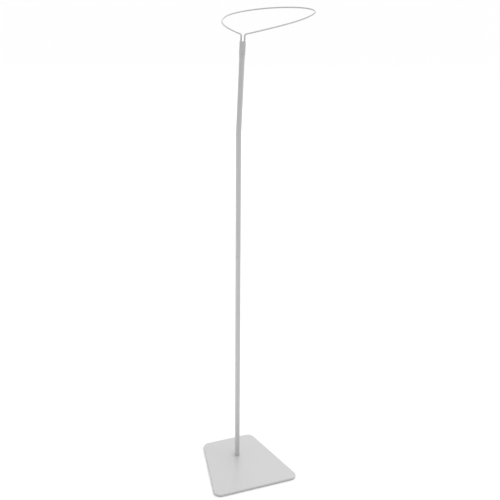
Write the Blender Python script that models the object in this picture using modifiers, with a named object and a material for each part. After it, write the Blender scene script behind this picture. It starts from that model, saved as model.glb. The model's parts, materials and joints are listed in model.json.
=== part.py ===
"""A free-standing hoop stand: a trapezoid foot plate, a tube pole in two sections, and a wire hoop on top.

The upper pole section turns on a spigot inside the joint, so the hoop can point any way over the plate.
The origin is on the floor under the plate's middle, +Y runs to the plate's narrow back edge, and +Z is up.
All sizes are in metres and all angles in degrees, unless a name says otherwise.
"""

from math import asin, atan, cos, pi, radians, sin, tan

import bmesh
import bpy
from mathutils import Vector

# The gap that neighbouring pieces keep where they touch, rest or fit, and how far a cutter reaches past a face.
GAP = 0.0003
OVERCUT = 0.001

# Foot plate, cut from steel plate: an isosceles trapezoid with rounded corners.
PLATE_FRONT = 0.297
PLATE_BACK = 0.177
PLATE_DEPTH = 0.288
PLATE_THICK = 0.008
PLATE_CORNER = 0.022
PLATE_EDGE = 0.0014
CORNER_STEPS = 8

# Rubber underlay bonded under the plate, set in from its edge, with a hole that clears the screw's head.
UNDERLAY_STANDOFF = 0.0013
UNDERLAY_INSET = 0.006
UNDERLAY_CLEARANCE = 0.0017

# Pole tube, the same in both sections, and its place on the plate.
TUBE_RADIUS = 0.008
TUBE_WALL = 0.0012
TUBE_SIDES = 32
POLE_TO_BACK = 0.100
LOWER_LENGTH = 0.747

# Countersunk socket screw that holds the pole from below, and the threaded slug that it screws into.
BOLT_RADIUS = 0.004
BOLT_LENGTH = 0.030
BOLT_HEAD_RADIUS = 0.0078
BOLT_HEAD_RIM = 0.0006
BOLT_HEAD_SINK = 0.0004
BOLT_TIP = 0.0008
SOCKET_KEY = 0.005
SOCKET_DEPTH = 0.0026
BOLT_CLEARANCE = 0.0005
BOLT_SIDES = 24
INSERT_LENGTH = 0.026
INSERT_RECESS = 0.001

# Spigot: a short tube fixed in the lower section, on which the upper section turns.
SPIGOT_LENGTH = 0.120
SPIGOT_WALL = 0.0015

# Upper section: straight, one slight bend, then straight to the crimped end.
UPPER_STRAIGHT = 0.401
UPPER_TOP = 0.2705
BEND_ANGLE = 8.4
BEND_RADIUS = 0.080
BEND_STEPS = 6
HOOP_TURN = 37.1

# Crimp: the tube's end is pressed flat round the hoop's two legs, with a groove between them.
CRIMP_LENGTH = 0.032
CRIMP_RUNOUT = 0.020
CRIMP_STEPS = 8
CRIMP_GROOVE = 0.0012
LEG_MARGIN = 0.004

# Hoop: one wire, two legs side by side, arms that open as a quarter sine, and a half-ellipse end.
# ARM_START is how far from the leg each arm's curve takes over from the bend, in radii of the bend.
WIRE_RADIUS = 0.0024
LEG_SPACING = 0.0108
LEG_RISE = 0.020
LEG_BEND = 0.007
ARM_START = 1.2
HOOP_WIDTH = 0.290
HOOP_LENGTH = 0.445
HOOP_WIDEST = 0.3145
HOOP_TILT = 0.1
HOOP_ROLL = 5.3
LEG_BEND_STEPS = 7
ARM_STEPS = 22
END_STEPS = 36

POLE_Y = PLATE_DEPTH / 2 - POLE_TO_BACK
PLATE_LOW = UNDERLAY_STANDOFF
PLATE_TOP = PLATE_LOW + PLATE_THICK
JOINT_Z = PLATE_TOP + LOWER_LENGTH
BORE_RADIUS = TUBE_RADIUS - TUBE_WALL
CORE_RADIUS = BORE_RADIUS - GAP
HALF_LEG = LEG_SPACING / 2
CRIMP_INNER = WIRE_RADIUS + GAP


def collection(name):
    """A new collection in the scene."""
    made = bpy.data.collections.new(name)
    bpy.context.scene.collection.children.link(made)
    return made


def material(name, colour, roughness, metallic):
    """A Principled material with one colour."""
    made = bpy.data.materials.new(name)
    made.use_nodes = True
    shader = made.node_tree.nodes["Principled BSDF"]
    shader.inputs["Base Color"].default_value = (*colour, 1.0)
    shader.inputs["Roughness"].default_value = roughness
    shader.inputs["Metallic"].default_value = metallic
    return made


def add(name, data, finish, location=(0, 0, 0), parent=None):
    """A piece of the stand in the parts collection, with its finish and place."""
    made = bpy.data.objects.new(name, data)
    PARTS.objects.link(made)
    data.materials.clear()
    data.materials.append(finish)
    made.location = location
    made.parent = parent
    return made


def add_cutter(name, mesh, location):
    """A hidden shape that a Boolean takes away."""
    made = bpy.data.objects.new(name, mesh)
    CUTTERS.objects.link(made)
    made.location = location
    made.hide_render = True
    made.display_type = "WIRE"
    return made


def cut(piece, cutter):
    """Takes the cutter's shape out of the piece."""
    modifier = piece.modifiers.new("cut", "BOOLEAN")
    modifier.operation = "DIFFERENCE"
    modifier.solver = "EXACT"
    modifier.object = cutter


def smooth(mesh):
    """Smooth shading that keeps the edges sharper than 35 degrees."""
    mesh.shade_smooth()
    mesh.set_sharp_from_angle(angle=radians(35))


def profile_mesh(name, points):
    """A mesh of one closed outline in the XZ plane, from (radius, height) points."""
    mesh = bpy.data.meshes.new(name)
    count = len(points)
    edges = [(i, (i + 1) % count) for i in range(count)]
    mesh.from_pydata([(r, 0, z) for r, z in points], edges, [])
    return mesh


def turn(piece, sides):
    """Turns the piece's outline right round its Z axis."""
    modifier = piece.modifiers.new("turn", "SCREW")
    modifier.axis = "Z"
    modifier.steps = sides
    modifier.render_steps = sides
    modifier.use_merge_vertices = True
    modifier.merge_threshold = 0.00001


def turned(name, points, finish, location, sides=TUBE_SIDES):
    """A piece turned from a closed outline, whose points run down the outer side."""
    piece = add(name, profile_mesh(name, points), finish, location)
    turn(piece, sides)
    return piece


def pipe_outline(outer, inner, low, high):
    """The section of a straight tube, running down its outer side."""
    return [(outer, high), (outer, low), (inner, low), (inner, high)]


def cylinder_mesh(name, radius, low, high, sides):
    """A capped cylinder round Z between two heights."""
    mesh = bpy.data.meshes.new(name)
    bm = bmesh.new()
    bmesh.ops.create_cone(bm, cap_ends=True, segments=sides, radius1=radius, radius2=radius, depth=high - low)
    bmesh.ops.translate(bm, verts=bm.verts, vec=(0, 0, (low + high) / 2))
    bm.to_mesh(mesh)
    bm.free()
    return mesh


def plate_corners(inset):
    """The trapezoid's four corners in plan, counter-clockwise from the front left, each edge moved in by inset."""
    front, back, half = PLATE_FRONT / 2, PLATE_BACK / 2, PLATE_DEPTH / 2
    corners = [Vector(p) for p in ((-front, -half), (front, -half), (back, half), (-back, half))]
    moved = []
    for i, corner in enumerate(corners):
        to_last = (corners[i - 1] - corner).normalized()
        to_next = (corners[(i + 1) % len(corners)] - corner).normalized()
        half_angle = to_last.angle(to_next) / 2
        moved.append(corner + (to_last + to_next).normalized() * inset / sin(half_angle))
    return moved


def rounded(corners, radius, steps):
    """The closed outline of a convex polygon with an arc of this radius at each corner."""
    outline = []
    count = len(corners)
    for i, corner in enumerate(corners):
        to_last = (corners[i - 1] - corner).normalized()
        to_next = (corners[(i + 1) % count] - corner).normalized()
        half_angle = to_last.angle(to_next) / 2
        centre = corner + (to_last + to_next).normalized() * radius / sin(half_angle)
        start = corner + to_last * radius / tan(half_angle) - centre
        sweep = pi - 2 * half_angle
        for step in range(steps + 1):
            turn = sweep * step / steps
            x = start.x * cos(turn) - start.y * sin(turn)
            y = start.x * sin(turn) + start.y * cos(turn)
            outline.append(centre + Vector((x, y)))
    return outline


def slab_mesh(name, inset, low, high):
    """A slab of the plate's shape between two heights: its outline as a filled curve, made a clean mesh."""
    outline = rounded(plate_corners(inset), PLATE_CORNER - inset, CORNER_STEPS)
    curve = bpy.data.curves.new(name, "CURVE")
    curve.dimensions = "2D"
    curve.fill_mode = "BOTH"
    curve.extrude = (high - low) / 2
    spline = curve.splines.new("POLY")
    spline.points.add(len(outline) - 1)
    for point, place in zip(spline.points, outline):
        point.co = (place.x, place.y, 0, 1)
    spline.use_cyclic_u = True
    guide = bpy.data.objects.new(name, curve)
    CUTTERS.objects.link(guide)
    bpy.context.view_layer.update()
    mesh = bpy.data.meshes.new_from_object(guide.evaluated_get(bpy.context.evaluated_depsgraph_get()))
    bpy.data.objects.remove(guide)
    bm = bmesh.new()
    bm.from_mesh(mesh)
    bmesh.ops.remove_doubles(bm, verts=bm.verts, dist=0.00001)
    bmesh.ops.dissolve_limit(bm, angle_limit=radians(0.5), verts=bm.verts, edges=bm.edges)
    bmesh.ops.recalc_face_normals(bm, faces=bm.faces)
    bmesh.ops.translate(bm, verts=bm.verts, vec=(0, 0, (low + high) / 2))
    bm.to_mesh(mesh)
    bm.free()
    return mesh


def make_plate():
    """The foot plate, with softened edges and the screw's countersunk hole."""
    plate = add("base_plate", slab_mesh("base_plate", 0, PLATE_LOW, PLATE_TOP), POWDER_WHITE)
    soften = plate.modifiers.new("edges", "BEVEL")
    soften.width = PLATE_EDGE
    soften.segments = 3
    soften.limit_method = "ANGLE"
    soften.angle_limit = radians(60)
    hole_radius = BOLT_RADIUS + BOLT_CLEARANCE
    rim_radius = BOLT_HEAD_RADIUS + BOLT_CLEARANCE
    rim = BOLT_HEAD_SINK + BOLT_HEAD_RIM
    outline = [
        (0, PLATE_THICK + OVERCUT),
        (hole_radius, PLATE_THICK + OVERCUT),
        (hole_radius, rim + rim_radius - hole_radius),
        (rim_radius, rim),
        (rim_radius, -OVERCUT),
        (0, -OVERCUT),
    ]
    cutter = add_cutter("screw_hole", profile_mesh("screw_hole", outline), (0, POLE_Y, PLATE_LOW))
    turn(cutter, TUBE_SIDES)
    cut(plate, cutter)


def make_underlay():
    """The rubber underlay that the stand rests on."""
    high = PLATE_LOW - GAP
    underlay = add("rubber_underlay", slab_mesh("rubber_underlay", UNDERLAY_INSET, 0, high), BLACK_RUBBER)
    hole_radius = BOLT_HEAD_RADIUS + UNDERLAY_CLEARANCE
    hole = cylinder_mesh("underlay_hole", hole_radius, -OVERCUT, high + OVERCUT, TUBE_SIDES)
    cut(underlay, add_cutter("underlay_hole", hole, (0, POLE_Y, 0)))


def make_screw():
    """The countersunk screw, head down in the plate, with its hexagon socket."""
    head_low = PLATE_LOW + BOLT_HEAD_SINK
    cone_low = head_low + BOLT_HEAD_RIM
    cone_high = cone_low + BOLT_HEAD_RADIUS - BOLT_RADIUS
    tip = head_low + BOLT_LENGTH
    outline = [
        (0, tip),
        (BOLT_RADIUS - BOLT_TIP, tip),
        (BOLT_RADIUS, tip - BOLT_TIP),
        (BOLT_RADIUS, cone_high),
        (BOLT_HEAD_RADIUS, cone_low),
        (BOLT_HEAD_RADIUS, head_low),
        (0, head_low),
    ]
    screw = turned("base_screw", outline, ZINC_STEEL, (0, POLE_Y, 0), BOLT_SIDES)
    key_radius = SOCKET_KEY / 2 / cos(pi / 6)
    socket = cylinder_mesh("screw_socket", key_radius, head_low - OVERCUT, head_low + SOCKET_DEPTH, 6)
    cut(screw, add_cutter("screw_socket", socket, (0, POLE_Y, 0)))


def make_lower_pole():
    """The lower tube with the threaded slug in its foot and the spigot in its head."""
    outline = pipe_outline(TUBE_RADIUS, BORE_RADIUS, PLATE_TOP + GAP, JOINT_Z)
    turned("lower_pole", outline, POWDER_WHITE, (0, POLE_Y, 0))
    low = PLATE_TOP + INSERT_RECESS
    slug = pipe_outline(CORE_RADIUS, BOLT_RADIUS + GAP, low, low + INSERT_LENGTH)
    turned("threaded_insert", slug, ZINC_STEEL, (0, POLE_Y, 0))
    half = SPIGOT_LENGTH / 2
    core = pipe_outline(CORE_RADIUS, CORE_RADIUS - SPIGOT_WALL, JOINT_Z - half, JOINT_Z + half)
    turned("spigot", core, ZINC_STEEL, (0, POLE_Y, 0))


def ring(round_radius, crimp_radius, share):
    """A tube section in (right, forward), between a circle at share 0 and the crimp's outline at share 1.

    The crimp's outline is two half circles round the legs, joined by sides that dip as a cosine.
    """
    points = []
    quarter = TUBE_SIDES // 4
    for k in range(TUBE_SIDES):
        part, step = divmod(k, quarter)
        t = step / quarter
        side = 1 if part < 2 else -1
        if part % 2 == 0:
            angle = pi * (t - 0.5)
            crimp = (HALF_LEG + crimp_radius * cos(angle), crimp_radius * sin(angle))
        else:
            across = HALF_LEG * (1 - 2 * t)
            dip = CRIMP_GROOVE * (1 + cos(pi * across / HALF_LEG)) / 2
            crimp = (across, crimp_radius - dip)
        angle = 2 * pi * k / TUBE_SIDES - pi / 4
        circle = (round_radius * cos(angle), round_radius * sin(angle))
        points.append(tuple(c + (side * p - c) * share for c, p in zip(circle, crimp)))
    return points


def upper_stations():
    """The upper tube's middle line as (point, direction, crimp share), from the joint to its end."""
    angle = radians(BEND_ANGLE)
    cut_back = BEND_RADIUS * tan(angle / 2)
    rising = Vector((0, 0, 1))
    stations = [(Vector((0, 0, GAP)), rising, 0)]
    centre = Vector((0, BEND_RADIUS, UPPER_STRAIGHT - cut_back))
    for step in range(BEND_STEPS + 1):
        turn = angle * step / BEND_STEPS
        spoke = Vector((0, -cos(turn), sin(turn))) * BEND_RADIUS
        stations.append((centre + spoke, Vector((0, sin(turn), cos(turn))), 0))
    corner = Vector((0, 0, UPPER_STRAIGHT))
    leaning = Vector((0, sin(angle), cos(angle)))
    for step in range(CRIMP_STEPS + 1):
        t = step / CRIMP_STEPS
        share = t * t * (3 - 2 * t)
        along = UPPER_TOP - CRIMP_LENGTH - CRIMP_RUNOUT * (1 - t)
        stations.append((corner + leaning * along, leaning, share))
    stations.append((corner + leaning * UPPER_TOP, leaning, 1))
    return stations


def make_upper_pole(axis):
    """The upper tube: a loft of its sections, outside and inside, closed at both ends."""
    right = Vector((1, 0, 0))
    verts, faces = [], []
    shells = ((TUBE_RADIUS, CRIMP_INNER + TUBE_WALL), (BORE_RADIUS, CRIMP_INNER))
    stations = upper_stations()
    for round_radius, crimp_radius in shells:
        for point, along, share in stations:
            forward = along.cross(right)
            for across, ahead in ring(round_radius, crimp_radius, share):
                verts.append(point + right * across + forward * ahead)
    per_shell = TUBE_SIDES * len(stations)
    for level in range(len(stations) - 1):
        for k in range(TUBE_SIDES):
            a = level * TUBE_SIDES + k
            b = level * TUBE_SIDES + (k + 1) % TUBE_SIDES
            c, d = b + TUBE_SIDES, a + TUBE_SIDES
            faces.append((a, b, c, d))
            faces.append(tuple(i + per_shell for i in (d, c, b, a)))
    last = TUBE_SIDES * (len(stations) - 1)
    for k in range(TUBE_SIDES):
        after = (k + 1) % TUBE_SIDES
        faces.append((after, k, k + per_shell, after + per_shell))
        faces.append((last + k, last + after, last + after + per_shell, last + k + per_shell))
    mesh = bpy.data.meshes.new("upper_pole")
    mesh.from_pydata(verts, [], faces)
    smooth(mesh)
    add("upper_pole", mesh, POWDER_WHITE, parent=axis)


def arm_across(along):
    """How far an arm stands off the hoop's middle line, at this distance from its apex."""
    return HOOP_WIDTH / 2 * sin(pi / 2 * along / HOOP_WIDEST)


def bent(before, corner, after, radius, steps):
    """The points of an arc of this radius that rounds a corner between two straight runs."""
    into = (before - corner).normalized()
    out = (after - corner).normalized()
    half_angle = into.angle(out) / 2
    centre = corner + (into + out).normalized() * radius / sin(half_angle)
    start = corner + into * radius / tan(half_angle) - centre
    side = (out - out.project(start)).normalized() * radius
    sweep = pi - 2 * half_angle
    turns = (sweep * step / steps for step in range(steps + 1))
    return [centre + start * cos(turn) + side * sin(turn) for turn in turns]


def hoop_points():
    """The wire's middle line in the swivel's frame: up the left leg, round the hoop, down the right leg."""
    lean, tilt, roll = radians(BEND_ANGLE), radians(HOOP_TILT), radians(HOOP_ROLL)
    leaning = Vector((0, sin(lean), cos(lean)))
    tube_end = Vector((0, 0, UPPER_STRAIGHT)) + leaning * UPPER_TOP
    middle = tube_end + leaning * LEG_RISE
    ahead = Vector((0, cos(tilt), sin(tilt)))
    normal = Vector((0, -sin(tilt), cos(tilt)))
    right = Vector((1, 0, 0)) * cos(roll) + normal * sin(roll)
    first = 2 * HOOP_WIDEST / pi * asin(HALF_LEG / (HOOP_WIDTH / 2))

    def place(across, along):
        return middle + right * across + ahead * (along - first)

    opening = atan(HOOP_WIDTH / 2 * pi / 2 / HOOP_WIDEST)
    clear = first + ARM_START * LEG_BEND * cos(opening)
    arm = []
    for step in range(ARM_STEPS):
        along = clear + (HOOP_WIDEST - clear) * step / ARM_STEPS
        arm.append((arm_across(along), along))
    end = []
    for step in range(END_STEPS + 1):
        turn = pi * step / END_STEPS
        end.append((-HOOP_WIDTH / 2 * cos(turn), HOOP_WIDEST + (HOOP_LENGTH - HOOP_WIDEST) * sin(turn)))
    loop = [place(-x, y) for x, y in arm] + [place(x, y) for x, y in end]
    loop += [place(x, y) for x, y in reversed(arm)]
    legs = []
    for side, neighbour in ((-1, loop[0]), (1, loop[-1])):
        foot = tube_end - leaning * (CRIMP_LENGTH - LEG_MARGIN) + Vector((side * HALF_LEG, 0, 0))
        corner = place(side * HALF_LEG, first)
        legs.append([foot] + bent(foot, corner, neighbour, LEG_BEND, LEG_BEND_STEPS))
    return legs[0] + loop + legs[1][::-1]


def make_hoop(axis):
    """The hoop: one wire along its middle line, with flat ends inside the crimp."""
    points = hoop_points()
    curve = bpy.data.curves.new("hoop", "CURVE")
    curve.dimensions = "3D"
    curve.bevel_depth = WIRE_RADIUS
    curve.bevel_resolution = 3
    curve.use_fill_caps = True
    spline = curve.splines.new("POLY")
    spline.points.add(len(points) - 1)
    for point, place in zip(spline.points, points):
        point.co = (*place, 1)
    add("hoop", curve, POWDER_WHITE, parent=axis)


for old in list(bpy.data.objects):
    bpy.data.objects.remove(old)

PARTS = collection("hoop_stand")
CUTTERS = collection("hoop_stand_cutters")
POWDER_WHITE = material("powder_white", (0.52, 0.52, 0.525), 0.38, 0.0)
BLACK_RUBBER = material("black_rubber", (0.06, 0.06, 0.06), 0.80, 0.0)
ZINC_STEEL = material("zinc_steel", (0.62, 0.62, 0.61), 0.35, 1.0)

swivel = bpy.data.objects.new("swivel_axis", None)
PARTS.objects.link(swivel)
swivel.location = (0, POLE_Y, JOINT_Z)
swivel.rotation_euler = (0, 0, -radians(HOOP_TURN))

make_plate()
make_underlay()
make_screw()
make_lower_pole()
make_upper_pole(swivel)
make_hoop(swivel)
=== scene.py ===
"""Looks for the hoop-top display stand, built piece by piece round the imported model.

Sizes are in metres and angles in degrees. Each section is one piece of the stand, in the order
it goes together. The last section is the studio.
"""

import json
from math import asin, cos, pi, radians, sin

import bmesh
import bpy
import numpy as np
from mathutils import Euler, Matrix, Vector


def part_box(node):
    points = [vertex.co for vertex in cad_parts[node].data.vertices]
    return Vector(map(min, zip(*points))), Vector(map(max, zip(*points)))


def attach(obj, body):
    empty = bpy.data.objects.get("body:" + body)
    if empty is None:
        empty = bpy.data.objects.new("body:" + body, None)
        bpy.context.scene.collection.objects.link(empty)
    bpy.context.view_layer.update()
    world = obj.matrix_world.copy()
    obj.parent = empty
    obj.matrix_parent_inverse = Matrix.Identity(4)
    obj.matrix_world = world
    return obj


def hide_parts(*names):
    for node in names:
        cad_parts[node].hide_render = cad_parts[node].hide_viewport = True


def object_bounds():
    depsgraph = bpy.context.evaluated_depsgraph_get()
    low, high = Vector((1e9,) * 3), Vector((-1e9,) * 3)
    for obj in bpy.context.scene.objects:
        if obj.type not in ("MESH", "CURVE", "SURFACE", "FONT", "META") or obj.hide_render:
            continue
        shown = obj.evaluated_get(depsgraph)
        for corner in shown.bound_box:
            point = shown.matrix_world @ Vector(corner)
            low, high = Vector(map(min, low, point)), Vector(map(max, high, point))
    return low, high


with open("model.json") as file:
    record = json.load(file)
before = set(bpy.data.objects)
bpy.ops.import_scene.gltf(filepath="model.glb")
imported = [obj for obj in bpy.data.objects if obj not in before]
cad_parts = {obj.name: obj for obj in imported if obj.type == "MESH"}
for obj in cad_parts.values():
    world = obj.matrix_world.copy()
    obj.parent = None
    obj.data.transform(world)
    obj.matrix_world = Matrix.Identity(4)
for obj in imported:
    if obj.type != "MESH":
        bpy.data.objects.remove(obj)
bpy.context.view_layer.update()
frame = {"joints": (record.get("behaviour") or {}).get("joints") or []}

# ---------------------------------------------------------------------------------------------
# Foot plate: 8 mm steel plate cut to a trapezoid, its corners rounded and its edges broken all
# round, then powder coated in a pale grey-white satin. A countersunk hole under the pole takes
# the screw.
# ---------------------------------------------------------------------------------------------

PLATE_FRONT = 0.297
PLATE_BACK = 0.177
PLATE_DEPTH = 0.288
PLATE_CORNER = 0.022
PLATE_EDGE = 0.0014
SCREW_HOLE = 0.0045
SINK_RADIUS = 0.0083
SINK_RIM = 0.0010
CORNER_STEPS = 24
EDGE_STEPS = 14
BREAK_STEPS = 7
SMOOTH_ANGLE = 35
MERGE_DISTANCE = 0.000002

# The scales count a pattern's cells in a metre. PLATE_PEEL and COAT_GRAIN are bump heights.
PLATE_COLOUR = (0.515, 0.515, 0.515)
PLATE_PEEL = 0.00002
COAT_GRAIN = 0.000004
COAT_IOR = 1.5
LACQUER = 0.3
LACQUER_ROUGHNESS = 0.12
DRIFT = 0.025
DRIFT_SCALE = 9
COAT_ROUGHNESS = (0.33, 0.41)
GLOSS_SCALE = 160
GLOSS_CONTRAST = (0.3, 0.7)
PEEL_SCALE = 420
GRAIN_SCALE = 3200

plate_low, plate_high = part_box("base_plate")
pole_x, pole_y, joint_z = frame["joints"][0]["pos_m"]


def trapezoid_outline(inset):
    """The rounded trapezoid moved in by inset, as (points, outward normals), counter-clockwise.

    Each corner is an arc whose angle runs evenly between the two edges' normals. Each edge is a
    straight line from the end of one arc to the start of the next.
    """
    half = np.array([[-PLATE_FRONT, -PLATE_DEPTH], [PLATE_FRONT, -PLATE_DEPTH],
                     [PLATE_BACK, PLATE_DEPTH], [-PLATE_BACK, PLATE_DEPTH]]) / 2
    along = np.roll(half, -1, 0) - half
    along /= np.linalg.norm(along, axis=1)[:, None]
    heading = np.unwrap(np.arctan2(-along[:, 0], along[:, 1]))
    before = np.roll(heading, 1)
    before[0] -= 2 * pi
    half_turn = (heading - before) / 2
    middle = (heading + before) / 2
    reach = PLATE_CORNER / np.cos(half_turn)
    centres = half - reach[:, None] * np.stack([np.cos(middle), np.sin(middle)], 1)
    share = np.linspace(0, 1, CORNER_STEPS + 1)
    angle = before[:, None] + (heading - before)[:, None] * share
    normal = np.stack([np.cos(angle), np.sin(angle)], 2)
    arc = centres[:, None] + normal * (PLATE_CORNER - inset)
    fraction = np.linspace(0, 1, EDGE_STEPS + 2)[1:-1, None]
    run = arc[:, -1][:, None] * (1 - fraction) + np.roll(arc, -1, 0)[:, 0][:, None] * fraction
    run_normal = np.repeat(normal[:, -1][:, None], EDGE_STEPS, 1)
    points = np.concatenate([arc, run], 1).reshape(-1, 2)
    normals = np.concatenate([normal, run_normal], 1).reshape(-1, 2)
    return points, normals


def grid_piece(name, grid, wrap_rows):
    """A mesh piece from a grid of points, rows x columns x 3, whose columns always close.

    Each cell of the grid is one quad. The rows close on themselves too when wrap_rows is true.
    Rows that shrink to one point are merged there. The faces are turned to face outwards.
    """
    rows, columns = grid.shape[:2]
    verts = grid.reshape(-1, 3)
    i = np.arange(rows if wrap_rows else rows - 1)[:, None]
    j = np.arange(columns)[None, :]
    below, beside = (i + 1) % rows, (j + 1) % columns
    quads = np.stack([
        i * columns + j, below * columns + j, below * columns + beside, i * columns + beside,
    ], 2).reshape(-1, 4)
    corner = verts[quads]
    across = np.cross(corner[:, 2] - corner[:, 0], corner[:, 3] - corner[:, 1])
    if (corner.mean(1) * across).sum() < 0:
        quads = quads[:, ::-1]
    mesh = bpy.data.meshes.new(name)
    mesh.from_pydata(verts.tolist(), [], quads.tolist())
    piece = bpy.data.objects.new(name, mesh)
    bpy.context.scene.collection.objects.link(piece)
    merged = bmesh.new()
    merged.from_mesh(mesh)
    bmesh.ops.remove_doubles(merged, verts=merged.verts, dist=MERGE_DISTANCE)
    merged.to_mesh(mesh)
    merged.free()
    mesh.shade_smooth()
    mesh.set_sharp_from_angle(angle=radians(SMOOTH_ANGLE))
    return piece


def circle_round_pole(points, radius):
    """The points' directions from the pole, carried in to a circle of this radius round it."""
    spoke = points - np.array([pole_x, pole_y])
    return np.array([pole_x, pole_y]) + spoke / np.linalg.norm(spoke, axis=1)[:, None] * radius


def slab_rows(inset, low, high, edge, hole_rows):
    """A slab with broken edges, as rows of points run round its section.

    The rows go from the hole's top edge out over the top face, round a quarter circle of radius
    edge, down the side, round another quarter and back in to the hole. hole_rows gives the
    hole's wall as (radius, height) from the bottom up.
    """
    outline, normals = trapezoid_outline(inset)
    turn = np.linspace(0, pi / 2, BREAK_STEPS)
    step_in = edge * (1 - np.sin(turn))
    drop = edge * (1 - np.cos(turn))
    rows = []

    def ring(place, height):
        rows.append(np.column_stack([place, np.full(len(place), height)]))

    for moved_in, fall in zip(step_in, drop):
        ring(outline - normals * moved_in, high - fall)
    for moved_in, fall in zip(step_in[::-1], drop[::-1]):
        ring(outline - normals * moved_in, low + fall)
    for radius, height in hole_rows:
        ring(circle_round_pole(outline, radius), height)
    return np.stack(rows)


def bare_finish(name):
    """A new material as (material, node tree, shader, the piece's own coordinates)."""
    finish = bpy.data.materials.new(name)
    finish.use_nodes = True
    tree = finish.node_tree
    place = tree.nodes.new("ShaderNodeTexCoord").outputs["Object"]
    return finish, tree, tree.nodes["Principled BSDF"], place


def mottle(tree, place, scale, detail):
    """Soft noise from 0 to 1, with scale cells in a metre. detail adds finer and finer octaves."""
    texture = tree.nodes.new("ShaderNodeTexNoise")
    texture.inputs["Scale"].default_value = scale
    texture.inputs["Detail"].default_value = detail
    tree.links.new(place, texture.inputs["Vector"])
    return texture.outputs["Fac"]


def two_shades(tree, shader, pattern, dark, pale):
    """Colours the shader from dark, where the pattern is 0, to pale, where it is 1."""
    shade = tree.nodes.new("ShaderNodeMix")
    shade.data_type = "RGBA"
    shade.inputs["A"].default_value = (*dark, 1)
    shade.inputs["B"].default_value = (*pale, 1)
    tree.links.new(pattern, shade.inputs["Factor"])
    tree.links.new(shade.outputs["Result"], shader.inputs["Base Color"])


def worn_gloss(tree, shader, pattern, roughness, contrast=(0, 1)):
    """Roughness from the first value to the second as the pattern crosses the contrast's span."""
    gloss = tree.nodes.new("ShaderNodeMapRange")
    gloss.inputs["From Min"].default_value = contrast[0]
    gloss.inputs["From Max"].default_value = contrast[1]
    gloss.inputs["To Min"].default_value = roughness[0]
    gloss.inputs["To Max"].default_value = roughness[1]
    tree.links.new(pattern, gloss.inputs["Value"])
    tree.links.new(gloss.outputs["Result"], shader.inputs["Roughness"])


def raised(tree, shader, reliefs):
    """Bumps the shader by each (pattern, height) in turn, each relief laid over the one before."""
    last = None
    for pattern, height in reliefs:
        bump = tree.nodes.new("ShaderNodeBump")
        bump.inputs["Distance"].default_value = height
        tree.links.new(pattern, bump.inputs["Height"])
        if last:
            tree.links.new(last, bump.inputs["Normal"])
        last = bump.outputs["Normal"]
    tree.links.new(last, shader.inputs["Normal"])


def powder_coat(name, colour, peel):
    """Satin powder coat: a soft orange peel over a fine grain, with faint shade and gloss drift.

    peel is the height of the orange peel in metres.
    """
    coat, tree, shader, place = bare_finish(name)
    shader.inputs["IOR"].default_value = COAT_IOR
    shader.inputs["Coat Weight"].default_value = LACQUER
    shader.inputs["Coat Roughness"].default_value = LACQUER_ROUGHNESS
    dark = [c * (1 - DRIFT) for c in colour]
    pale = [min(1, c * (1 + DRIFT)) for c in colour]
    drift = mottle(tree, place, DRIFT_SCALE, detail=3)
    two_shades(tree, shader, drift, dark, pale)
    gloss = mottle(tree, place, GLOSS_SCALE, detail=4)
    worn_gloss(tree, shader, gloss, COAT_ROUGHNESS, GLOSS_CONTRAST)
    raised(tree, shader, [
        (mottle(tree, place, PEEL_SCALE, detail=1), peel),
        (mottle(tree, place, GRAIN_SCALE, detail=2), COAT_GRAIN),
    ])
    return coat


plate_hole = [
    (SINK_RADIUS, plate_low.z),
    (SINK_RADIUS, plate_low.z + SINK_RIM),
    (SCREW_HOLE, plate_low.z + SINK_RIM + SINK_RADIUS - SCREW_HOLE),
    (SCREW_HOLE, plate_high.z),
]
plate_rows = slab_rows(0, plate_low.z, plate_high.z, PLATE_EDGE, plate_hole)
plate = grid_piece("foot_plate", plate_rows, True)
plate.data.materials.append(powder_coat("plate_powder_coat", PLATE_COLOUR, PLATE_PEEL))
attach(plate, "stand")
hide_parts("base_plate")

# ---------------------------------------------------------------------------------------------
# Underlay: a sheet of black rubber, die cut a little smaller than the plate and bonded under it
# so that the steel neither slides nor marks the floor. A round hole clears the screw's head.
# ---------------------------------------------------------------------------------------------

UNDERLAY_INSET = 0.006
UNDERLAY_EDGE = 0.0003
UNDERLAY_HOLE = 0.0095
RUBBER_DARK = (0.018, 0.018, 0.019)
RUBBER_BLOOM = (0.055, 0.055, 0.054)
RUBBER_ROUGHNESS = (0.68, 0.88)
BLOOM_SCALE = 30
PEBBLE_SCALE = 520
PEBBLE_HEIGHT = 0.0002

underlay_low, underlay_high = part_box("rubber_underlay")


def moulded_rubber(name):
    """Black rubber with a pebbled moulding texture and a trace of grey bloom in patches."""
    rubber, tree, shader, place = bare_finish(name)
    pebble = tree.nodes.new("ShaderNodeTexVoronoi")
    pebble.inputs["Scale"].default_value = PEBBLE_SCALE
    tree.links.new(place, pebble.inputs["Vector"])
    bloom = mottle(tree, place, BLOOM_SCALE, detail=6)
    two_shades(tree, shader, bloom, RUBBER_DARK, RUBBER_BLOOM)
    worn_gloss(tree, shader, bloom, RUBBER_ROUGHNESS)
    raised(tree, shader, [(pebble.outputs["Distance"], PEBBLE_HEIGHT)])
    return rubber


underlay_hole = [(UNDERLAY_HOLE, underlay_low.z), (UNDERLAY_HOLE, underlay_high.z)]
underlay_rows = slab_rows(
    UNDERLAY_INSET, underlay_low.z, underlay_high.z, UNDERLAY_EDGE, underlay_hole
)
underlay = grid_piece("underlay", underlay_rows, True)
underlay.data.materials.append(moulded_rubber("underlay_rubber"))
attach(underlay, "stand")
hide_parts("rubber_underlay")

# ---------------------------------------------------------------------------------------------
# Base screw: an M8 countersunk socket screw in bright zinc, driven up through the plate into
# the slug in the pole's foot. Its head sits just below the plate's underside.
# ---------------------------------------------------------------------------------------------

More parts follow.
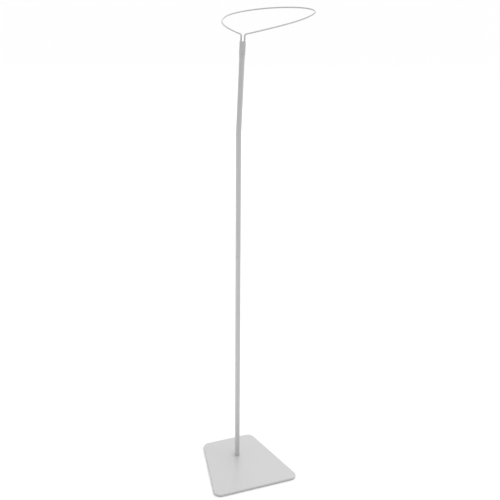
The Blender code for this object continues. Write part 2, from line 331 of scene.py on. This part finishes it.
SCREW_RADIUS = 0.004
SCREW_HEAD = 0.0078
SCREW_RIM = 0.0006
SCREW_BREAK = 0.0001
SCREW_PITCH = 0.00125
SCREW_THREAD = 0.0006
RUNOUT_TURNS = 2
SOCKET_KEY = 0.005
SOCKET_DEPTH = 0.0026
SOCKET_LEAD = 0.0003
SOCKET_DISH = 0.0002
THREAD_STEPS = 12
SCREW_COLUMNS = 96
SCREW_SCRATCHES = 9000
ZINC_DARK = (0.52, 0.53, 0.54)
ZINC_PALE = (0.68, 0.68, 0.66)
ZINC_ROUGHNESS = (0.22, 0.46)
CLOUD_SCALE = 240
SCRATCH_STRETCH = 30
SCRATCH_HEIGHT = 0.00001

screw_low, screw_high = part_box("base_screw")


def turned_grid(radius, height, columns):
    """Rings round the pole's axis: a radius for each row, or row and column, and a row's height."""
    turn = np.linspace(0, 2 * pi, columns, endpoint=False)
    return np.stack([
        pole_x + radius * np.cos(turn),
        pole_y + radius * np.sin(turn),
        np.repeat(height[:, None], columns, 1),
    ], 2)


def screw_surface():
    """The screw as rows of rings from the shank's tip to the socket's floor.

    On the shank the radius is the outer radius less a triangle wave of the thread's depth, whose
    phase is height over pitch plus the turn. The head is a cone. In the socket the radius is the
    hexagon's: half the key over the cosine of the angle from the nearest flat's middle.
    """
    turn = np.linspace(0, 2 * pi, SCREW_COLUMNS, endpoint=False)
    base = screw_low.z
    cone_low = base + SCREW_RIM
    cone_high = cone_low + SCREW_HEAD - SCREW_RADIUS
    heights = np.arange(screw_high.z, cone_high, -SCREW_PITCH / THREAD_STEPS)[:, None]
    phase = (heights / SCREW_PITCH + turn / (2 * pi)) % 1
    runout = np.clip((heights - cone_high) / (RUNOUT_TURNS * SCREW_PITCH), 0, 1)
    chamfer = np.clip((screw_high.z - heights) / SCREW_THREAD, 0, 1)
    groove = SCREW_THREAD * np.abs(2 * phase - 1) * runout * chamfer
    shank = SCREW_RADIUS - groove - SCREW_THREAD * (1 - chamfer)
    flat = (turn + pi / 6) % (pi / 3) - pi / 6
    hexagon = SOCKET_KEY / 2 / np.cos(flat)
    flush = np.ones_like(turn)
    head = [
        (SCREW_RADIUS * flush, cone_high),
        (SCREW_HEAD * flush, cone_low),
        (SCREW_HEAD * flush, base + SCREW_BREAK),
        ((SCREW_HEAD - SCREW_BREAK) * flush, base),
        (hexagon + SOCKET_LEAD, base),
        (hexagon, base + SOCKET_LEAD),
        (hexagon, base + SOCKET_DEPTH - SOCKET_DISH),
        (0 * flush, base + SOCKET_DEPTH),
    ]
    radius = np.concatenate([[0 * flush], shank, [r for r, _ in head]])
    height = np.concatenate([[screw_high.z], heights[:, 0], [z for _, z in head]])
    return turned_grid(radius, height, SCREW_COLUMNS)


def zinc_plate(name, scratches):
    """Bright zinc plating: pale metal with cloudy patches, fine drawn scratches and worn gloss.

    scratches is how many fit side by side in a metre.
    """
    zinc, tree, shader, place = bare_finish(name)
    shader.inputs["Metallic"].default_value = 1
    cloud = mottle(tree, place, CLOUD_SCALE, detail=5)
    two_shades(tree, shader, cloud, ZINC_DARK, ZINC_PALE)
    stretch = tree.nodes.new("ShaderNodeMapping")
    stretch.inputs["Scale"].default_value = (scratches, scratches, scratches / SCRATCH_STRETCH)
    tree.links.new(place, stretch.inputs["Vector"])
    scratch = mottle(tree, stretch.outputs["Vector"], 1, detail=3)
    worn_gloss(tree, shader, scratch, ZINC_ROUGHNESS)
    raised(tree, shader, [(scratch, SCRATCH_HEIGHT)])
    return zinc


screw = grid_piece("plate_screw", screw_surface(), False)
screw.data.materials.append(zinc_plate("screw_zinc", SCREW_SCRATCHES))
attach(screw, "stand")
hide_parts("base_screw")

# ---------------------------------------------------------------------------------------------
# Threaded slug: a turned steel bush pressed and plug welded in the pole's foot. The screw pulls
# on it, so the tube's end is drawn down hard on the plate.
# ---------------------------------------------------------------------------------------------

SLUG_CHAMFER = 0.0006
SLUG_BORE = 0.0043
SLUG_SCRATCHES = 6000
BUSH_COLUMNS = 96

slug_low, slug_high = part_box("threaded_insert")


def bush_surface(outer, inner, low, high, chamfer, columns):
    """A tube wall with every edge chamfered, turned round the pole's axis.

    Its section runs down the outside and up the bore.
    """
    section = np.array([
        (outer - chamfer, high), (outer, high - chamfer),
        (outer, low + chamfer), (outer - chamfer, low),
        (inner + chamfer, low), (inner, low + chamfer),
        (inner, high - chamfer), (inner + chamfer, high),
    ])
    return turned_grid(section[:, :1], section[:, 1], columns)


slug_radius = (slug_high.x - slug_low.x) / 2
slug_wall = bush_surface(
    slug_radius, SLUG_BORE, slug_low.z, slug_high.z, SLUG_CHAMFER, BUSH_COLUMNS
)
slug = grid_piece("pole_slug", slug_wall, True)
slug.data.materials.append(zinc_plate("slug_zinc", SLUG_SCRATCHES))
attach(slug, "stand")
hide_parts("threaded_insert")

# ---------------------------------------------------------------------------------------------
# Lower pole: 16 mm steel tube sawn square, its ends deburred, in the plate's powder coat, whose
# grey is set a little paler here as painted light. It stands on the plate over the slug and
# holds the spigot in its head.
# ---------------------------------------------------------------------------------------------

TUBE_WALL = 0.0012
TUBE_DEBURR = 0.00025
TUBE_COLUMNS = 128
TUBE_PEEL = 0.000014
# Painted light: the same coat as the plate's, its grey set paler than the plate's for the light
# this tube gets.
LOWER_PAINTED_LIGHT_COLOUR = (0.55, 0.55, 0.553)

lower_low, lower_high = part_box("lower_pole")
tube_radius = (lower_high.x - lower_low.x) / 2
lower_wall = bush_surface(
    tube_radius, tube_radius - TUBE_WALL, lower_low.z, lower_high.z, TUBE_DEBURR, TUBE_COLUMNS
)
lower = grid_piece("lower_tube", lower_wall, True)
lower.data.materials.append(powder_coat("lower_tube_powder_coat", LOWER_PAINTED_LIGHT_COLOUR, TUBE_PEEL))
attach(lower, "stand")
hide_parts("lower_pole")

# ---------------------------------------------------------------------------------------------
# Spigot: a short length of zinc plated tube pressed into the lower pole's head. The upper pole
# drops over it and turns on it, held by friction.
# ---------------------------------------------------------------------------------------------

SPIGOT_WALL = 0.0015
SPIGOT_CHAMFER = 0.0005
SPIGOT_SCRATCHES = 5000

spigot_low, spigot_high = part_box("spigot")
spigot_radius = (spigot_high.x - spigot_low.x) / 2
spigot_bore = spigot_radius - SPIGOT_WALL
spigot_wall = bush_surface(
    spigot_radius, spigot_bore, spigot_low.z, spigot_high.z, SPIGOT_CHAMFER, BUSH_COLUMNS
)
spigot = grid_piece("joint_spigot", spigot_wall, True)
spigot.data.materials.append(zinc_plate("spigot_zinc", SPIGOT_SCRATCHES))
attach(spigot, "stand")
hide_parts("spigot")

# ---------------------------------------------------------------------------------------------
# Upper pole: the same tube, bent a little in a bender. Its top is pressed flat in a die round
# the hoop's two legs, with a groove between them, which grips them and leaves a fluted end.
# ---------------------------------------------------------------------------------------------

HOOP_TURN = 37.1
UPPER_STRAIGHT = 0.401
UPPER_TOP = 0.2705
BEND_ANGLE = 8.4
BEND_RADIUS = 0.080
CRIMP_LENGTH = 0.032
CRIMP_RUNOUT = 0.020
CRIMP_GROOVE = 0.0012
CRIMP_GAP = 0.0003
WIRE_RADIUS = 0.0024
HALF_LEG = 0.0054
JOINT_GAP = 0.0003
RISE_STATIONS = 30
BEND_STATIONS = 25
LEAN_STATIONS = 18
RUNOUT_STATIONS = 25
CRIMP_STATIONS = 9
# Painted light and shade: the same coat as the plate's, its grey set paler than the plate's and
# darker than the lower tube's to match how the light falls on this tube.
UPPER_PAINTED_LIGHT_AND_SHADE_COLOUR = (0.53, 0.531, 0.537)

swivel_turn = -radians(HOOP_TURN)
lean = radians(BEND_ANGLE)
leaning = np.array([0, sin(lean), cos(lean)])
bend_corner = np.array([0, 0, UPPER_STRAIGHT])
tube_end = bend_corner + leaning * UPPER_TOP


def to_world(points):
    """Points in the swivel's frame, hoop towards +Y, turned about the pole and put in place."""
    c, s = cos(swivel_turn), sin(swivel_turn)
    turned = points.reshape(-1, 3) @ np.array([[c, s, 0], [-s, c, 0], [0, 0, 1]])
    return (turned + np.array([pole_x, pole_y, joint_z])).reshape(points.shape)


def crimped_outline(round_radius, crimp_radius, share):
    """Tube sections between a circle at share 0 and the crimp's fluted outline at share 1.

    The fluted outline is two half circles round the legs joined by sides that dip as a cosine.
    Returns one (right, forward) outline for each share.
    """
    quarter = TUBE_COLUMNS // 4
    t = np.arange(quarter) / quarter
    swing = pi * (t - 0.5)
    cap = np.stack([HALF_LEG + crimp_radius * np.cos(swing), crimp_radius * np.sin(swing)], 1)
    across = HALF_LEG * (1 - 2 * t)
    dip = CRIMP_GROOVE * (1 + np.cos(pi * across / HALF_LEG)) / 2
    side = np.stack([across, crimp_radius - dip], 1)
    fluted = np.concatenate([cap, side, -cap, -side])
    turn = 2 * pi * np.arange(TUBE_COLUMNS) / TUBE_COLUMNS - pi / 4
    circle = round_radius * np.stack([np.cos(turn), np.sin(turn)], 1)
    return circle + (fluted - circle) * share[:, None, None]


def upper_line():
    """The upper tube's middle line from joint to top, as (points, directions, crimp shares).

    A straight rise, an arc of the bend's radius, and a leaning straight run. The share is a
    smooth step from 0 to 1 over the runout below the crimp.
    """
    cut_back = BEND_RADIUS * np.tan(lean / 2)
    turn = np.linspace(0, lean, BEND_STATIONS)
    arc = np.stack([0 * turn, BEND_RADIUS * (1 - np.cos(turn)),
                    UPPER_STRAIGHT - cut_back + BEND_RADIUS * np.sin(turn)], 1)
    arc_way = np.stack([0 * turn, np.sin(turn), np.cos(turn)], 1)
    rise = np.linspace(JOINT_GAP, arc[0, 2], RISE_STATIONS)[:-1]
    up = np.stack([0 * rise, 0 * rise, rise], 1)
    crimp_start = UPPER_TOP - CRIMP_LENGTH - CRIMP_RUNOUT
    out = np.concatenate([
        np.linspace(cut_back, crimp_start, LEAN_STATIONS)[1:-1],
        np.linspace(crimp_start, UPPER_TOP - CRIMP_LENGTH, RUNOUT_STATIONS),
        np.linspace(UPPER_TOP - CRIMP_LENGTH, UPPER_TOP, CRIMP_STATIONS)[1:],
    ])
    top = bend_corner + out[:, None] * leaning
    points = np.concatenate([up, arc, top])
    up_way = np.tile([0, 0, 1.0], (len(up), 1))
    ways = np.concatenate([up_way, arc_way, np.tile(leaning, (len(top), 1))])
    t = np.clip((out - crimp_start) / CRIMP_RUNOUT, 0, 1)
    shares = np.concatenate([np.zeros(len(up) + len(arc)), t * t * (3 - 2 * t)])
    return points, ways, shares


def upper_surface():
    """The upper tube's wall: the outline carried up the middle line outside and back down inside.

    At each end the walls start one deburr in, so each rim has a small flat chamfer.
    """
    points, ways, shares = upper_line()
    right = np.array([1.0, 0, 0])
    forward = np.cross(ways, right)

    def shell(round_radius, crimp_radius, moved_in):
        middle = points.copy()
        middle[0] += ways[0] * moved_in
        middle[-1] -= ways[-1] * moved_in
        flat = crimped_outline(round_radius, crimp_radius, shares)
        return middle[:, None] + flat[..., :1] * right + flat[..., 1:] * forward[:, None]

    wall_out = (tube_radius, WIRE_RADIUS + CRIMP_GAP + TUBE_WALL)
    wall_in = (tube_radius - TUBE_WALL, WIRE_RADIUS + CRIMP_GAP)
    outside = shell(*wall_out, TUBE_DEBURR)
    inside = shell(*wall_in, TUBE_DEBURR)
    rim_out = shell(wall_out[0] - TUBE_DEBURR, wall_out[1] - TUBE_DEBURR, 0)[[0, -1]]
    rim_in = shell(wall_in[0] + TUBE_DEBURR, wall_in[1] + TUBE_DEBURR, 0)[[0, -1]]
    return to_world(np.concatenate([
        rim_out[:1], outside, rim_out[1:], rim_in[1:], inside[::-1], rim_in[:1],
    ]))


upper = grid_piece("upper_tube", upper_surface(), True)
upper.data.materials.append(powder_coat("upper_tube_powder_coat", UPPER_PAINTED_LIGHT_AND_SHADE_COLOUR, TUBE_PEEL))
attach(upper, "mast")
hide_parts("upper_pole")

# ---------------------------------------------------------------------------------------------
# Hoop: one length of round steel wire. Two legs stand side by side in the crimp, bend over, and
# open into a teardrop loop that the cloth hangs from. It has the pole's powder coat, with its grey
# set darker as painted shade.
# ---------------------------------------------------------------------------------------------

# ARM_START is how far from the leg each arm's curve takes over from the bend, in radii of the
# bend. FACET_LOSS comes off the wire's radius, so that the round wire stays inside the box of
# the faceted solid.
LEG_MARGIN = 0.004
LEG_RISE = 0.020
LEG_BEND = 0.007
ARM_START = 1.2
HOOP_WIDTH = 0.290
HOOP_LENGTH = 0.445
HOOP_WIDEST = 0.3145
HOOP_TILT = 0.1
HOOP_ROLL = 5.3
WIRE_COLUMNS = 40
WIRE_END = 0.0005
FACET_LOSS = 0.00008
LEG_STATIONS = 12
LEG_BEND_STATIONS = 26
ARM_STATIONS = 150
FAR_END_STATIONS = 240
# Painted shade: the same coat as the plate's and the tubes', its grey set darker to match how dark
# the thin wire looks under the light.
HOOP_PAINTED_SHADE_COLOUR = (0.48, 0.48, 0.482)
HOOP_PEEL = 0.00001


def hoop_line():
    """The wire's middle line, the heading its side is square to at each station, and the normal.

    The arms stand off the middle as a quarter sine of the distance from the apex, and the far
    end is half an ellipse. The legs join the arms by arcs of the leg bend's radius.
    """
    tilt, roll = radians(HOOP_TILT), radians(HOOP_ROLL)
    middle = tube_end + leaning * LEG_RISE
    ahead = np.array([0, cos(tilt), sin(tilt)])
    normal = np.array([0, -sin(tilt), cos(tilt)])
    right = np.array([1, 0, 0]) * cos(roll) + normal * sin(roll)
    half = HOOP_WIDTH / 2
    first = 2 * HOOP_WIDEST / pi * asin(HALF_LEG / half)
    opening = np.arctan(half * pi / 2 / HOOP_WIDEST)
    clear = first + ARM_START * LEG_BEND * cos(opening)
    along = np.linspace(clear, HOOP_WIDEST, ARM_STATIONS, endpoint=False)
    turn = np.linspace(0, pi, FAR_END_STATIONS)
    across = np.concatenate([
        -half * np.sin(pi / 2 * along / HOOP_WIDEST),
        -half * np.cos(turn),
        half * np.sin(pi / 2 * along[::-1] / HOOP_WIDEST),
    ])
    far_end = HOOP_WIDEST + (HOOP_LENGTH - HOOP_WIDEST) * np.sin(turn)
    reach = np.concatenate([along, far_end, along[::-1]])
    loop = middle + across[:, None] * right + (reach - first)[:, None] * ahead
    legs = []
    for side, neighbour in ((-1, loop[0]), (1, loop[-1])):
        foot = tube_end - leaning * (CRIMP_LENGTH - LEG_MARGIN) + np.array([side * HALF_LEG, 0, 0])
        corner = middle + side * HALF_LEG * right
        into = (foot - corner) / np.linalg.norm(foot - corner)
        out = (neighbour - corner) / np.linalg.norm(neighbour - corner)
        half_angle = np.arccos(into @ out) / 2
        centre = corner + (into + out) / np.linalg.norm(into + out) * LEG_BEND / sin(half_angle)
        start = corner + into * LEG_BEND / np.tan(half_angle) - centre
        sideways = out - start * (out @ start) / (start @ start)
        sideways *= LEG_BEND / np.linalg.norm(sideways)
        sweep = np.linspace(0, pi - 2 * half_angle, LEG_BEND_STATIONS)[:, None]
        arc = centre + start * np.cos(sweep) + sideways * np.sin(sweep)
        rise = np.linspace(0, 1, LEG_STATIONS, endpoint=False)[:, None]
        legs.append(np.concatenate([foot + rise * (arc[0] - foot), arc]))
    line = np.concatenate([legs[0], loop, legs[1][::-1]])
    heading = np.gradient(loop, axis=0)
    heading = np.concatenate([
        np.tile(heading[0], (len(legs[0]), 1)), heading, np.tile(heading[-1], (len(legs[1]), 1)),
    ])
    return line, heading, normal * cos(roll) - np.array([1, 0, 0]) * sin(roll)


def wire_surface():
    """The wire: a circle carried along its middle line, closed by chamfered ends.

    The circle's side is the hoop's normal crossed with the heading, made square to the line.
    """
    line, heading, normal = hoop_line()
    way = np.gradient(line, axis=0)
    way /= np.linalg.norm(way, axis=1)[:, None]
    side = np.cross(normal, heading)
    side -= way * (side * way).sum(1)[:, None]
    side /= np.linalg.norm(side, axis=1)[:, None]
    up = np.cross(way, side)
    wire = WIRE_RADIUS - FACET_LOSS
    rim = wire - WIRE_END
    radius = np.concatenate([[0, rim], np.full(len(line), wire), [rim, 0]])
    line = np.concatenate([
        line[:1], line[:1], line[:1] + way[:1] * WIRE_END, line[1:-1],
        line[-1:] - way[-1:] * WIRE_END, line[-1:], line[-1:],
    ])
    side = np.concatenate([side[:1], side[:1], side, side[-1:], side[-1:]])
    up = np.concatenate([up[:1], up[:1], up, up[-1:], up[-1:]])
    turn = np.linspace(0, 2 * pi, WIRE_COLUMNS, endpoint=False)[:, None]
    spoke = side[:, None] * np.cos(turn) + up[:, None] * np.sin(turn)
    return to_world(line[:, None] + spoke * radius[:, None, None])


hoop = grid_piece("wire_hoop", wire_surface(), False)
hoop.data.materials.append(powder_coat("hoop_powder_coat", HOOP_PAINTED_SHADE_COLOUR, HOOP_PEEL))
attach(hoop, "mast")
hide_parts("hoop")

# ---------------------------------------------------------------------------------------------
# Studio: a plain near-white floor, a wide soft light overhead, a softbox behind, a small low one
# on the left, and an even white surround. The camera stands front left and looks down.
# ---------------------------------------------------------------------------------------------

# Places are steps across the view, away from the camera and up: the dome's and the back light's
# from the stand's middle, the left light's and the camera's from the pole's foot.
FLOOR_SIZE = 40.0
FLOOR_COLOUR = (0.92, 0.92, 0.92)
FLOOR_ROUGHNESS = 0.9
FLOOR_SHINE = 0.2
CAMERA_LENS = 72.0
CAMERA_SENSOR = 36.0
CAMERA_PITCH = 24.0
CAMERA_SWING = 21.8
CAMERA_ROLL = 0.55
CAMERA_PLACE = (0.0373, -2.858, 2.043)
DOME_PLACE = (1.6, 0.4, 5.0)
DOME_POWER = 2.05
DOME_ANGLE = 80
BACK_PLACE = (0, 4.0, 2.2)
BACK_POWER = 30
BACK_SIZE = 3.2
LEFT_PLACE = (-1.5, -0.6, 0.35)
LEFT_POWER = 4
LEFT_SIZE = 0.9
SURROUND_LIGHT = 0.47
SURROUND_SEEN = 1.0

low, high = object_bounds()
bpy.ops.mesh.primitive_plane_add(size=FLOOR_SIZE, location=(pole_x, pole_y, low.z))
floor = bpy.context.active_object
floor.name = "studio_floor"
paint = bpy.data.materials.new("floor_paint")
paint.use_nodes = True
floor_shader = paint.node_tree.nodes["Principled BSDF"]
floor_shader.inputs["Base Color"].default_value = (*FLOOR_COLOUR, 1)
floor_shader.inputs["Roughness"].default_value = FLOOR_ROUGHNESS
floor_shader.inputs["Specular IOR Level"].default_value = FLOOR_SHINE
floor.data.materials.append(paint)

swing = radians(CAMERA_SWING)
away = np.array([sin(swing), cos(swing), 0])
across = np.array([cos(swing), -sin(swing), 0])
up = np.array([0, 0, 1])
foot = np.array([pole_x, pole_y, plate_high.z])
middle = np.array([pole_x, pole_y, (low.z + high.z) / 2])


def stepped(origin, place):
    """The point that lies these steps across, away and up from the origin."""
    return origin + across * place[0] + away * place[1] + up * place[2]


camera = bpy.data.objects.new("camera", bpy.data.cameras.new("camera"))
bpy.context.scene.collection.objects.link(camera)
camera.data.lens = CAMERA_LENS
camera.data.sensor_width = CAMERA_SENSOR
camera.location = stepped(foot, CAMERA_PLACE)
level = Euler((radians(90 - CAMERA_PITCH), 0, -swing)).to_matrix()
camera.rotation_euler = (level @ Matrix.Rotation(radians(CAMERA_ROLL), 3, "Z")).to_euler()
bpy.context.scene.camera = camera
bpy.context.scene.view_settings.view_transform = "Standard"


def studio_light(kind, name, place, target, power):
    """A light of this kind at a place, turned to face its target, and unseen by the camera."""
    light = bpy.data.objects.new(name, bpy.data.lights.new(name, kind))
    bpy.context.scene.collection.objects.link(light)
    light.data.energy = power
    light.visible_camera = False
    light.location = place
    light.rotation_euler = (Vector(target) - Vector(place)).to_track_quat("-Z", "Y").to_euler()
    return light.data


dome = studio_light("SUN", "overhead_dome", stepped(middle, DOME_PLACE), middle, DOME_POWER)
dome.angle = radians(DOME_ANGLE)
back = studio_light("AREA", "back_softbox", stepped(middle, BACK_PLACE), middle, BACK_POWER)
back.size = BACK_SIZE
left = studio_light("AREA", "left_softbox", stepped(foot, LEFT_PLACE), foot, LEFT_POWER)
left.size = LEFT_SIZE

# The surround looks white to the camera and lights the stand less, so no horizon shows.
surround = bpy.data.worlds.new("surround")
surround.use_nodes = True
nodes, links = surround.node_tree.nodes, surround.node_tree.links
nodes["Background"].inputs["Color"].default_value = (1, 1, 1, 1)
brightness = nodes.new("ShaderNodeMapRange")
brightness.inputs["To Min"].default_value = SURROUND_LIGHT
brightness.inputs["To Max"].default_value = SURROUND_SEEN
links.new(nodes.new("ShaderNodeLightPath").outputs["Is Camera Ray"], brightness.inputs["Value"])
links.new(brightness.outputs["Result"], nodes["Background"].inputs["Strength"])
bpy.context.scene.world = surround
